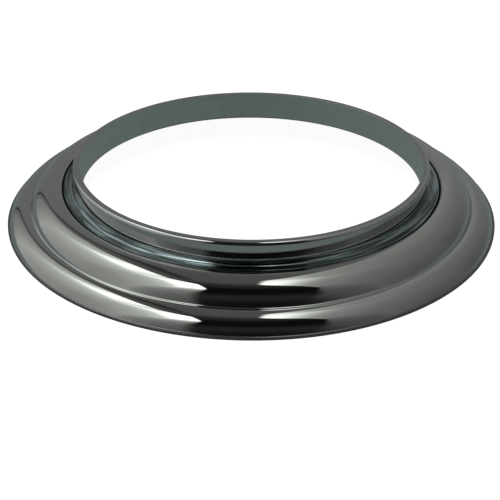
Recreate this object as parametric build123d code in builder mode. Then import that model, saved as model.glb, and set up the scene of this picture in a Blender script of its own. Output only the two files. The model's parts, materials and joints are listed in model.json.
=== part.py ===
# Tub spout flange: a round trim ring that goes round the wall end of a tub spout and covers the hole
# in the wall. It is one casting: a thin rim, two stepped beads, a fine turned groove, a narrow floor
# and a collar round the spout. The wall side is hollow. Millimetres, +Z away from the wall, with the
# origin on the wall plane, in the middle of the rim.
import os

from build123d import *

os.makedirs("parts", exist_ok=True)

# Spout, bore and collar
spout_diameter = 57.15
spout_clearance = 0.125
collar_lip_thickness = 1.2
collar_draft = 0.1
collar_rise = 3.6

# Floor and groove round the collar
floor_width = 1.6
floor_drop = 0.05
groove_width = 0.3
groove_depth = 0.5

# Beads and rim, as steps outwards and down from the groove
upper_bead_width = 5.3
upper_bead_rise = 2.97
upper_bead_bulge = 1.22
lower_bead_width = 3.75
lower_bead_rise = 2.38
lower_bead_bulge = 0.7
rim_width = 0.3
rim_height = 0.5

# Hollow side
wall_thickness = 1.35
floor_thickness = 1.42

# Roundings of the section
rim_foot_rounding = 0.12
rim_rounding = 0.1
rim_corner_rounding = 0.1
valley_rounding = 0.25
bead_edge_rounding = 0.2
floor_edge_rounding = 0.1
collar_cove = 0.9
collar_lip_rounding = 0.55
bore_mouth_rounding = 0.1
bore_end_rounding = 0.3

# Radii from the spout outwards
bore_radius = spout_diameter / 2 + spout_clearance
collar_lip_radius = bore_radius + collar_lip_thickness
collar_foot_radius = collar_lip_radius + collar_draft
groove_inner_radius = collar_foot_radius + floor_width
groove_outer_radius = groove_inner_radius + groove_width
valley_radius = groove_outer_radius + upper_bead_width
bead_foot_radius = valley_radius + lower_bead_width
flange_radius = bead_foot_radius + rim_width

# Heights from the wall plane up
valley_height = rim_height + lower_bead_rise
bead_edge_height = valley_height + upper_bead_rise
floor_height = bead_edge_height - floor_drop
groove_bottom_height = floor_height - groove_depth
collar_height = floor_height + collar_rise
bore_end_height = floor_height - floor_thickness

# The two beads, drawn as arcs from the rim up to the groove
with BuildLine() as beads:
    lower_bead = SagittaArc(
        (bead_foot_radius, rim_height), (valley_radius, valley_height), -lower_bead_bulge
    )
    upper_bead = SagittaArc(
        (valley_radius, valley_height), (groove_outer_radius, bead_edge_height), -upper_bead_bulge
    )

# Half section of the ring, radius across and height up: filled to the wall plane, then hollowed
# under the beads and the floor, then rounded corner by corner
section_roundings = [
    (flange_radius, 0, rim_foot_rounding),
    (flange_radius, rim_height, rim_rounding),
    (bead_foot_radius, rim_height, rim_corner_rounding),
    (valley_radius, valley_height, valley_rounding),
    (groove_outer_radius, bead_edge_height, bead_edge_rounding),
    (groove_inner_radius, floor_height, floor_edge_rounding),
    (collar_foot_radius, floor_height, collar_cove),
    (collar_lip_radius, collar_height, collar_lip_rounding),
    (bore_radius, collar_height, bore_mouth_rounding),
    (bore_radius, bore_end_height, bore_end_rounding),
]

with BuildPart() as spout_flange:
    with BuildSketch(Plane.XZ) as section:
        with BuildLine():
            add(beads.line)
            Polyline(
                (groove_outer_radius, bead_edge_height),
                (groove_outer_radius, groove_bottom_height),
                (groove_inner_radius, groove_bottom_height),
                (groove_inner_radius, floor_height),
                (collar_foot_radius, floor_height),
                (collar_lip_radius, collar_height),
                (bore_radius, collar_height),
                (bore_radius, 0),
                (flange_radius, 0),
                (flange_radius, rim_height),
                (bead_foot_radius, rim_height),
            )
        make_face()
        with BuildLine():
            bead_underside = offset(
                beads.line, amount=wall_thickness, side=Side.LEFT, closed=False, mode=Mode.ADD
            )
            Polyline(
                bead_underside @ 1,
                ((bead_underside @ 1).X, -wall_thickness),
                (bore_radius, -wall_thickness),
                (bore_radius, bore_end_height),
                bead_underside @ 0,
            )
        make_face(mode=Mode.SUBTRACT)
        for radius, height, rounding in section_roundings:
            fillet(section.vertices().sort_by_distance((radius, height))[0], rounding)
    revolve(axis=Axis.Z)

spout_flange.part.label = "spout_flange"
export_step(spout_flange.part, "parts/spout_flange.step")
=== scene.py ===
import json
from math import asin, atan, pi, radians, sqrt, tan

import bmesh
import bpy
from mathutils import Matrix, Vector


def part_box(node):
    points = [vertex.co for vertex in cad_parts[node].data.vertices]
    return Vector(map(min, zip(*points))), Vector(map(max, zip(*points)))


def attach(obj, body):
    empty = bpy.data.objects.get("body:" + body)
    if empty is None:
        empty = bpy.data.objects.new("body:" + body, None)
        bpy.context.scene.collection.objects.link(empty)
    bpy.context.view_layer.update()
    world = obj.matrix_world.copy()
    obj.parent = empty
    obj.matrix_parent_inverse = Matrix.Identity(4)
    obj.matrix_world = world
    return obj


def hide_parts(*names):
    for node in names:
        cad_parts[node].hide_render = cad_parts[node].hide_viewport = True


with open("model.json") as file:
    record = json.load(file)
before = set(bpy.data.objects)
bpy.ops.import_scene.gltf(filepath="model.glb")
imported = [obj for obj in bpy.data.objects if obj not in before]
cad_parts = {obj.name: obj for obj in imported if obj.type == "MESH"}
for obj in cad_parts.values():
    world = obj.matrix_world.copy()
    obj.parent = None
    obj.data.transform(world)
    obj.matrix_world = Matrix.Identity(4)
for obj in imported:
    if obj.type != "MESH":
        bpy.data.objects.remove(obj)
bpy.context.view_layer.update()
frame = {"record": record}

# The ring: one casting in plated metal, turned and then buffed to a dark mirror on the side that shows.
# Its section is a thin rim, two beads, a fine turned groove, a narrow floor and a collar round the spout.
# The floor keeps its turning marks, and the bore and the hollow wall side are left satin.
MM = 0.001
RING_NODE = "spout_flange"
ring_low, ring_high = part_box(RING_NODE)
spout_bore = next(mount for mount in frame["record"]["mounts"] if mount["name"] == "spout_bore")
flange_radius = ring_high.x
collar_height = ring_high.z
bore_radius = spout_bore["dims"]["r_mm"] * MM

rim_width = 0.3 * MM
rim_height = 0.5 * MM
lower_bead_width = 3.75 * MM
lower_bead_rise = 2.38 * MM
lower_bead_bulge = 0.7 * MM
upper_bead_width = 5.3 * MM
upper_bead_rise = 2.97 * MM
upper_bead_bulge = 1.22 * MM
groove_width = 0.3 * MM
groove_depth = 0.5 * MM
floor_drop = 0.05 * MM
floor_width = 1.6 * MM
floor_thickness = 1.42 * MM
collar_draft = 0.1 * MM
wall_thickness = 1.35 * MM

rim_foot_rounding = 0.12 * MM
rim_rounding = 0.1 * MM
valley_rounding = 0.25 * MM
bead_edge_rounding = 0.2 * MM
floor_edge_rounding = 0.1 * MM
collar_cove = 0.9 * MM
collar_lip_rounding = 0.55 * MM
bore_mouth_rounding = 0.04 * MM
bore_end_rounding = 0.3 * MM

bead_foot_radius = flange_radius - rim_width
valley_radius = bead_foot_radius - lower_bead_width
valley_height = rim_height + lower_bead_rise
groove_outer_radius = valley_radius - upper_bead_width
bead_edge_height = valley_height + upper_bead_rise
groove_inner_radius = groove_outer_radius - groove_width
floor_height = bead_edge_height - floor_drop
groove_bottom_height = floor_height - groove_depth
collar_foot_radius = groove_inner_radius - floor_width
collar_lip_radius = collar_foot_radius - collar_draft
bore_end_height = floor_height - floor_thickness


def at(radius, height):
    """A point of the ring's half section, which is drawn in the plane of X and Z."""
    return Vector((radius, 0, height))


def bulged_arc(start, end, bulge):
    """Centre and angle of the arc between two points that stands out by bulge, away from the wall."""
    chord = end - start
    radius = ((chord.length / 2) ** 2 + bulge ** 2) / (2 * bulge)
    outwards = Vector((chord.z, 0, -chord.x)).normalized()
    return (start + end) / 2 + outwards * (bulge - radius), 4 * atan(2 * bulge / chord.length)


def draw_lines(*points):
    """Draws straight stretches of the section by extruding its last point from each point to the next."""
    for start, end in zip(points, points[1:]):
        bpy.ops.mesh.extrude_region_move(TRANSFORM_OT_translate={"value": end - start})


def draw_arc(centre, angle, steps):
    """Draws a round stretch of the section by spinning its last point about the arc's centre."""
    bpy.ops.mesh.spin(steps=steps, angle=angle, center=centre, axis=(0, 1, 0))


def round_corner(mesh, point, rounding, steps):
    """Rounds one corner of the section to a radius, by a bevel of its point."""
    bpy.ops.mesh.select_all(action="DESELECT")
    corner = min(bmesh.from_edit_mesh(mesh).verts, key=lambda vert: (vert.co - point).length)
    corner.select_set(True)
    first, second = (edge.other_vert(corner).co - corner.co for edge in corner.link_edges)
    reach = rounding / tan(first.angle(second) / 2)
    bpy.ops.mesh.bevel(offset_type="ABSOLUTE", offset=reach, segments=steps, affect="VERTICES")


rim_bottom = at(flange_radius, 0)
rim_edge = at(flange_radius, rim_height)
bead_foot = at(bead_foot_radius, rim_height)
valley = at(valley_radius, valley_height)
bead_edge = at(groove_outer_radius, bead_edge_height)
groove_outer = at(groove_outer_radius, groove_bottom_height)
groove_inner = at(groove_inner_radius, groove_bottom_height)
floor_edge = at(groove_inner_radius, floor_height)
collar_foot = at(collar_foot_radius, floor_height)
collar_lip = at(collar_lip_radius, collar_height)
bore_mouth = at(bore_radius, collar_height)
bore_end = at(bore_radius, bore_end_height)
lower_centre, lower_angle = bulged_arc(bead_foot, valley, lower_bead_bulge)
upper_centre, upper_angle = bulged_arc(valley, bead_edge, upper_bead_bulge)
under_floor = bead_edge + (upper_centre - bead_edge).normalized() * wall_thickness
under_valley_angle = (upper_centre - valley).angle(lower_centre - valley)
under_lower_radius = (valley - lower_centre).length - wall_thickness
under_lower_angle = (valley - lower_centre).angle(at(1, 0)) - asin(-lower_centre.z / under_lower_radius)
seat_edge = at(lower_centre.x + sqrt(under_lower_radius ** 2 - lower_centre.z ** 2), 0)

LOWER_STEPS = 18
UPPER_STEPS = 28
UNDER_STEPS = 8
bpy.ops.object.select_all(action="DESELECT")
bpy.ops.mesh.primitive_plane_add(size=rim_height, location=rim_bottom)
ring = bpy.context.active_object
ring.name = "flange_ring"
bpy.ops.object.transform_apply(location=True)
bpy.ops.object.mode_set(mode="EDIT")
bpy.ops.mesh.merge(type="CENTER")
draw_lines(rim_bottom, rim_edge, bead_foot)
draw_arc(lower_centre, lower_angle, LOWER_STEPS)
draw_arc(upper_centre, upper_angle, UPPER_STEPS)
draw_lines(bead_edge, groove_outer, groove_inner, floor_edge, collar_foot, collar_lip, bore_mouth)
draw_lines(bore_mouth, bore_end, under_floor)
draw_arc(upper_centre, -upper_angle, UNDER_STEPS)
draw_arc(valley, under_valley_angle, UNDER_STEPS)
draw_arc(lower_centre, -under_lower_angle, UNDER_STEPS)
draw_lines(seat_edge, rim_bottom)
WELD_DISTANCE = 0.001 * MM
bpy.ops.mesh.select_all(action="SELECT")
bpy.ops.mesh.remove_doubles(threshold=WELD_DISTANCE)

CORNER_STEPS = 8
for corner, rounding in [
    (rim_bottom, rim_foot_rounding),
    (rim_edge, rim_rounding),
    (bead_foot, rim_rounding),
    (valley, valley_rounding),
    (bead_edge, bead_edge_rounding),
    (floor_edge, floor_edge_rounding),
    (collar_foot, collar_cove),
    (collar_lip, collar_lip_rounding),
    (bore_mouth, bore_mouth_rounding),
    (bore_end, bore_end_rounding),
]:
    round_corner(ring.data, corner, rounding, CORNER_STEPS)

LATHE_STEPS = 360
bpy.ops.mesh.select_all(action="SELECT")
bpy.ops.mesh.spin(steps=LATHE_STEPS, angle=2 * pi, center=(0, 0, 0), axis=(0, 0, 1))
bpy.ops.mesh.select_all(action="SELECT")
bpy.ops.mesh.remove_doubles(threshold=WELD_DISTANCE)
bpy.ops.mesh.normals_make_consistent(inside=False)
bpy.ops.object.mode_set(mode="OBJECT")
SHARP_EDGE = radians(35)
bpy.ops.object.shade_smooth_by_angle(angle=SHARP_EDGE)
weighting = ring.modifiers.new("even shading of the flats", "WEIGHTED_NORMAL")
weighting.keep_sharp = True
bpy.ops.object.modifier_apply(modifier=weighting.name)


def feed(socket, value):
    """Links a node's output to a socket, or sets the socket where the value is a plain number or colour."""
    if isinstance(value, bpy.types.NodeSocket):
        socket.id_data.links.new(value, socket)
    else:
        socket.default_value = value


def node_beside(kind, *values):
    """Adds a node of a kind to the tree that the first linked one of the values belongs to."""
    linked = next(value for value in values if isinstance(value, bpy.types.NodeSocket))
    return linked.id_data.nodes.new(kind)


def calc(operation, *values):
    """Works a Math node on the values and gives back what it puts out."""
    node = node_beside("ShaderNodeMath", *values)
    node.operation = operation
    for socket, value in zip(node.inputs, values):
        feed(socket, value)
    return node.outputs["Value"]


def ramp(value, start, end, low=0.0, high=1.0):
    """Goes smoothly from low, where the value is at start, to high, where it is at end."""
    node = node_beside("ShaderNodeMapRange", value)
    node.interpolation_type = "SMOOTHSTEP"
    names = ("Value", "From Min", "From Max", "To Min", "To Max")
    for name, number in zip(names, (value, start, end, low, high)):
        feed(node.inputs[name], number)
    return node.outputs["Result"]


def blend(share, first, second, kind="FLOAT"):
    """Mixes two numbers, or two colours, by a mask that gives the second one's share."""
    first_place, second_place, result_place = {"FLOAT": (2, 3, 0), "RGBA": (6, 7, 2)}[kind]
    node = node_beside("ShaderNodeMix", share)
    node.data_type = kind
    feed(node.inputs[0], share)
    feed(node.inputs[first_place], first)
    feed(node.inputs[second_place], second)
    return node.outputs[result_place]


def split(vector):
    """Gives the three parts of a vector."""
    node = node_beside("ShaderNodeSeparateXYZ", vector)
    feed(node.inputs["Vector"], vector)
    return node.outputs


def noise(detail, x, y, z, w):
    """Noise over four values, so that it can run round the ring without a seam."""
    place = node_beside("ShaderNodeCombineXYZ", x, y, z)
    for socket, part in zip(place.inputs, (x, y, z)):
        feed(socket, part)
    node = node_beside("ShaderNodeTexNoise", x)
    node.noise_dimensions = "4D"
    node.inputs["Scale"].default_value = 1.0
    node.inputs["Detail"].default_value = detail
    feed(node.inputs["Vector"], place.outputs["Vector"])
    feed(node.inputs["W"], w)
    return node.outputs["Fac"]


plate = bpy.data.materials.new("buffed_plate")
plate.use_nodes = True
plate_shader = plate.node_tree.nodes["Principled BSDF"]
plate_shader.inputs["Metallic"].default_value = 1.0

place_on_ring = plate.node_tree.nodes.new("ShaderNodeTexCoord")
across, along, height = split(place_on_ring.outputs["Object"])
facing_across, facing_along, facing_up = split(place_on_ring.outputs["Normal"])
radius = calc("SQRT", calc("ADD", calc("MULTIPLY", across, across), calc("MULTIPLY", along, along)))
cosine = calc("DIVIDE", across, radius)
sine = calc("DIVIDE", along, radius)
facing_out = calc("ADD", calc("MULTIPLY", facing_across, cosine), calc("MULTIPLY", facing_along, sine))

faces_spout = ramp(facing_out, start=-0.35, end=-0.6)
faces_wall = ramp(facing_up, start=-0.1, end=-0.4)
unbuffed = calc("MAXIMUM", faces_spout, faces_wall)
inside_bead = ramp(radius, groove_outer_radius + bead_edge_rounding / 2, groove_outer_radius)
COVE_REACH = 1.4
below_cove = ramp(height, floor_height + COVE_REACH * collar_cove, floor_height + collar_cove / 2)
outside_bore = ramp(radius, bore_radius, collar_lip_radius)
turned_floor = calc("MULTIPLY", outside_bore, calc("MULTIPLY", inside_bead, below_cove))
groove_shade_mask = calc("MULTIPLY", turned_floor, ramp(height, floor_height, floor_height - groove_depth / 3))
satin = calc("MAXIMUM", unbuffed, turned_floor)
on_rim = ramp(radius, bead_foot_radius - rim_rounding, bead_foot_radius + rim_rounding)

LINE_PITCH = 0.3 * MM
LINE_LENGTH = 7 * MM
lines_round = collar_foot_radius / LINE_LENGTH
turning_marks = noise(
    detail=3.0,
    x=calc("DIVIDE", radius, LINE_PITCH),
    y=calc("DIVIDE", height, LINE_PITCH),
    z=calc("MULTIPLY", cosine, lines_round),
    w=calc("MULTIPLY", sine, lines_round),
)
HAZE_SIZE = 6 * MM
haze = noise(
    detail=4.0,
    x=calc("DIVIDE", across, HAZE_SIZE),
    y=calc("DIVIDE", along, HAZE_SIZE),
    z=calc("DIVIDE", height, HAZE_SIZE),
    w=0.0,
)
SCUFF_WIDTH = 0.5 * MM
SCUFF_LENGTH = 8 * MM
scuffs_round = bore_radius / SCUFF_WIDTH
scuffs = noise(
    detail=2.0,
    x=calc("MULTIPLY", cosine, scuffs_round),
    y=calc("MULTIPLY", sine, scuffs_round),
    z=calc("DIVIDE", height, SCUFF_LENGTH),
    w=0.0,
)

mirror_roughness = ramp(haze, start=0.35, end=0.75, low=0.02, high=0.05)
floor_roughness = ramp(turning_marks, start=0.3, end=0.7, low=0.06, high=0.16)
bore_roughness = ramp(turning_marks, start=0.2, end=0.8, low=0.3, high=0.42)
RIM_ROUGHNESS = 0.3
roughness = blend(on_rim, mirror_roughness, RIM_ROUGHNESS)
roughness = blend(turned_floor, roughness, floor_roughness)
roughness = blend(unbuffed, roughness, bore_roughness)
feed(plate_shader.inputs["Roughness"], roughness)

BUFFED = (0.55, 0.56, 0.555, 1)
SATIN = (0.65, 0.68, 0.67, 1)
SCUFFED = (0.61, 0.64, 0.63, 1)
TURNED = (0.4, 0.49, 0.52, 1)
DARK_TURNED = (0.12, 0.145, 0.15, 1)
# Painted shade: the rim's colour is darker than the buffed plate, for the shade where the ring meets the
# floor.
RIM_PAINTED_SHADE = (0.2, 0.2, 0.2, 1)
# Painted shade: the colour for the bottom of the narrow groove stands in for the shade in the slit.
PAINTED_GROOVE_SHADE = (0.14, 0.155, 0.155, 1)
satin_colour = blend(ramp(scuffs, start=0.5, end=0.68), SATIN, SCUFFED, "RGBA")
# Painted shade: the rim is painted darker, for the shade at the ring's foot; it is also left rougher.
colour = blend(on_rim, BUFFED, RIM_PAINTED_SHADE, "RGBA")
turned_colour = blend(ramp(turning_marks, start=0.42, end=0.6), DARK_TURNED, TURNED, "RGBA")
colour = blend(turned_floor, colour, turned_colour, "RGBA")
colour = blend(unbuffed, colour, satin_colour, "RGBA")
# Painted shade: the bottom of the groove is painted darker, for the shade in the narrow slit.
colour = blend(groove_shade_mask, colour, PAINTED_GROOVE_SHADE, "RGBA")
feed(plate_shader.inputs["Base Color"], colour)

# Shading alone: the upper bead's inner part leans outwards, so it mirrors the light and not the collar.
LAND_WIDTH = 2.3 * MM
LAND_TILT = 0.28
into_land = calc("MAXIMUM", calc("SUBTRACT", groove_outer_radius + LAND_WIDTH, radius), 0.0)
land = calc("MULTIPLY", calc("MULTIPLY", into_land, into_land), LAND_TILT / LAND_WIDTH / 2)
land = calc("MULTIPLY", land, ramp(radius, groove_inner_radius, groove_outer_radius))
MARK_DEPTH = 0.008 * MM
marks = plate.node_tree.nodes.new("ShaderNodeBump")
marks.inputs["Strength"].default_value = 1.0
marks.inputs["Distance"].default_value = 1.0
mark_height = calc("MULTIPLY", calc("MULTIPLY", turning_marks, satin), MARK_DEPTH)
feed(marks.inputs["Height"], calc("ADD", mark_height, land))
feed(plate_shader.inputs["Normal"], marks.outputs["Normal"])

ring.data.materials.append(plate)
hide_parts(RING_NODE)
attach(ring, "root")

# The floor: a plain matt white sheet under the ring. It is lit from below as well as from above, as on a
# light table, so the ring's shadow stays faint.
FLOOR_SIZE = 6.0
bpy.ops.object.select_all(action="DESELECT")
bpy.ops.mesh.primitive_plane_add(size=FLOOR_SIZE)
studio_floor = bpy.context.active_object
studio_floor.name = "studio_floor"
studio_floor.visible_glossy = False
floor_paint = bpy.data.materials.new("pale_floor")
floor_paint.use_nodes = True
floor_shader = floor_paint.node_tree.nodes["Principled BSDF"]
FLOOR_PAINT = (0.2, 0.2, 0.2, 1)
FLOOR_LIGHT = (1, 1, 1, 1)
FLOOR_GLOW = 0.95
floor_shader.inputs["Base Color"].default_value = FLOOR_PAINT
floor_shader.inputs["Roughness"].default_value = 0.9
floor_shader.inputs["Specular IOR Level"].default_value = 0.0
floor_shader.inputs["Emission Color"].default_value = FLOOR_LIGHT
floor_shader.inputs["Emission Strength"].default_value = FLOOR_GLOW
studio_floor.data.materials.append(floor_paint)

# The light: two pale sheets hung left and right over the ring, with a gap between them. They are brightest
# along the gap, fall off to the sides and end before the dark front, where the camera looks in.
tent = bpy.data.worlds.new("light_tent")
bpy.context.scene.world = tent
tent.use_nodes = True
direction = tent.node_tree.nodes.new("ShaderNodeTexCoord")
right, back, up = split(direction.outputs["Generated"])


def follow(value, stops):
    """Follows straight lines from stop to stop, each a value with what it gives there."""
    first, last = stops[0][0], stops[-1][0]
    node = node_beside("ShaderNodeValToRGB", value)
    feed(node.inputs["Fac"], calc("DIVIDE", calc("SUBTRACT", value, first), last - first))
    elements = node.color_ramp.elements
    for _ in stops[2:]:
        elements.new(0.5)
    for element, (stop, result) in zip(elements, stops):
        element.position = (stop - first) / (last - first)
        element.color = (result, result, result, 1)
    return node.outputs["Color"]


left_reach = follow(back, [
    (-0.8, 0.37), (-0.5, 0.29), (-0.35, 0.25), (-0.1, 0.25), (0.07, 0.347), (0.28, 0.357), (0.58, 0.335),
    (0.66, 0.36), (0.75, 0.49), (0.85, 0.75),
])
past_left = calc("SUBTRACT", calc("MULTIPLY", right, -1.0), left_reach)
left_fall = follow(past_left, [(0.15, 2.2), (0.22, 1.0), (0.34, 0.66), (0.6, 0.42), (0.75, 0.36)])
left_ends = follow(back, [
    (-1, 0.08), (-0.7, 0.19), (-0.55, 0.3), (-0.46, 0.5), (-0.4, 1.1), (-0.35, 2.2), (-0.1, 2.2), (0.07, 1.2),
    (0.25, 2.2), (0.4, 1.7), (0.5, 0.85), (0.55, 0.62), (0.75, 0.3), (1, 0.12),
])
left_sheet = calc("MINIMUM", left_fall, left_ends)

right_reach = follow(back, [
    (-0.85, 0.45), (-0.65, 0.5), (-0.5, 0.45), (-0.36, 0.41), (-0.12, 0.22), (0.03, 0.06), (0.07, 0.037),
    (0.36, 0.04), (0.45, 0.07), (0.55, 0.12), (0.7, 0.2),
])
past_right = calc("SUBTRACT", right, right_reach)
right_shift = follow(back, [(0.27, 0), (0.42, 0.1), (0.6, 0.15), (0.8, 0.2)])
right_fall = follow(calc("ADD", right, right_shift), [
    (0.07, 2.2), (0.2, 0.87), (0.27, 0.46), (0.36, 0.33), (0.6, 0.225), (0.8, 0.19), (1, 0.13),
])
right_ends = follow(back, [
    (-0.85, 0.02), (-0.7, 0.09), (-0.5, 0.13), (-0.3, 0.23), (-0.2, 0.8), (0, 2.2), (0.6, 1.0), (0.9, 0.25),
])
right_sheet = calc("MINIMUM", right_fall, right_ends)
sheets = blend(ramp(right, start=-0.02, end=0.02), left_sheet, right_sheet)

SEAM_DISTANCE = 0.11
SEAM_WIDTH = 0.055
SEAM_DARKENING = 0.7
beside_seam = calc("ABSOLUTE", calc("ADD", past_left, SEAM_DISTANCE))
seam = calc("MULTIPLY", ramp(beside_seam, SEAM_WIDTH, 0.0), ramp(back, start=0.05, end=0.25))
gap = follow(back, [
    (-0.95, 0.008), (-0.75, 0.03), (-0.55, 0.006), (-0.3, 0.006), (0, 0.042), (0.15, 0.108), (0.6, 0.12),
    (0.8, 0.2),
])
gap = calc("MULTIPLY", gap, calc("MULTIPLY_ADD", seam, -SEAM_DARKENING, 1.0))
left_start = follow(back, [(-0.65, -0.12), (-0.35, -0.015), (0.05, -0.02), (0.4, -0.07)])
left_end = ramp(back, start=-0.35, end=-0.65, low=0.015, high=0.13)
on_left = ramp(past_left, left_start, left_end)
right_end = ramp(back, start=-0.35, end=-0.65, low=0.015, high=0.06)
right_start = calc("MULTIPLY", right_end, -1.0)
on_right = ramp(past_right, right_start, right_end)
tone = blend(calc("MAXIMUM", on_left, on_right), gap, sheets)

table = follow(up, [(-0.85, 0.02), (-0.7, 0.06), (-0.5, 0.2)])
below = ramp(up, start=0.02, end=-0.1)
tone = blend(below, tone, table)
SHEET_TINT = (0.985, 1.01, 0.955, 1)
TABLE_TINT = (0.85, 1.03, 1.0, 1)
tint = blend(below, SHEET_TINT, TABLE_TINT, "RGBA")
lit = node_beside("ShaderNodeVectorMath", tone)
lit.operation = "SCALE"
feed(lit.inputs["Vector"], tint)
feed(lit.inputs["Scale"], tone)
WHITE = (1, 1, 1, 1)
rays = tent.node_tree.nodes.new("ShaderNodeLightPath")
tent_light = tent.node_tree.nodes["Background"]
feed(tent_light.inputs["Color"], blend(rays.outputs["Is Camera Ray"], lit.outputs["Vector"], WHITE, "RGBA"))

# The lamp: a wide soft disc hung over the ring, which lights the floor evenly. It is kept out of the
# reflections in the polished metal.
LAMP_HEIGHT = 1.0
LAMP_SIZE = 1.2
LAMP_WATTS = 8.0
bpy.ops.object.light_add(type="AREA", location=(0, 0, LAMP_HEIGHT))
floor_lamp = bpy.context.active_object
floor_lamp.name = "floor_lamp"
floor_lamp.data.shape = "DISK"
floor_lamp.data.size = LAMP_SIZE
floor_lamp.data.energy = LAMP_WATTS
floor_lamp.visible_glossy = False

# The camera: at the photograph's angle, above and in front of the ring. It is turned a little off the
# ring's middle, as the photograph was.
CAMERA_ELEVATION = radians(27.264)
CAMERA_DISTANCE = 195.5 * MM
VIEW_TILT = radians(90 - 29.452)
VIEW_TURN = radians(0.062)
VIEW_ROLL = radians(0.22)
SENSOR_WIDTH = 36.0
LENS_LENGTH = 81.53
camera_data = bpy.data.cameras.new("camera")
camera_data.sensor_width = SENSOR_WIDTH
camera_data.lens = LENS_LENGTH
camera_data.clip_start = MM
camera = bpy.data.objects.new("camera", camera_data)
bpy.context.scene.collection.objects.link(camera)
orbit = Matrix.Rotation(-CAMERA_ELEVATION, 4, "X") @ Matrix.Translation((0, -CAMERA_DISTANCE, 0))
turn = Matrix.Rotation(VIEW_TURN, 4, "Z") @ Matrix.Rotation(VIEW_TILT, 4, "X")
camera.matrix_world = Matrix.Translation(orbit.translation) @ turn @ Matrix.Rotation(VIEW_ROLL, 4, "Z")
bpy.context.scene.camera = camera
bpy.context.scene.view_settings.view_transform = "Standard"
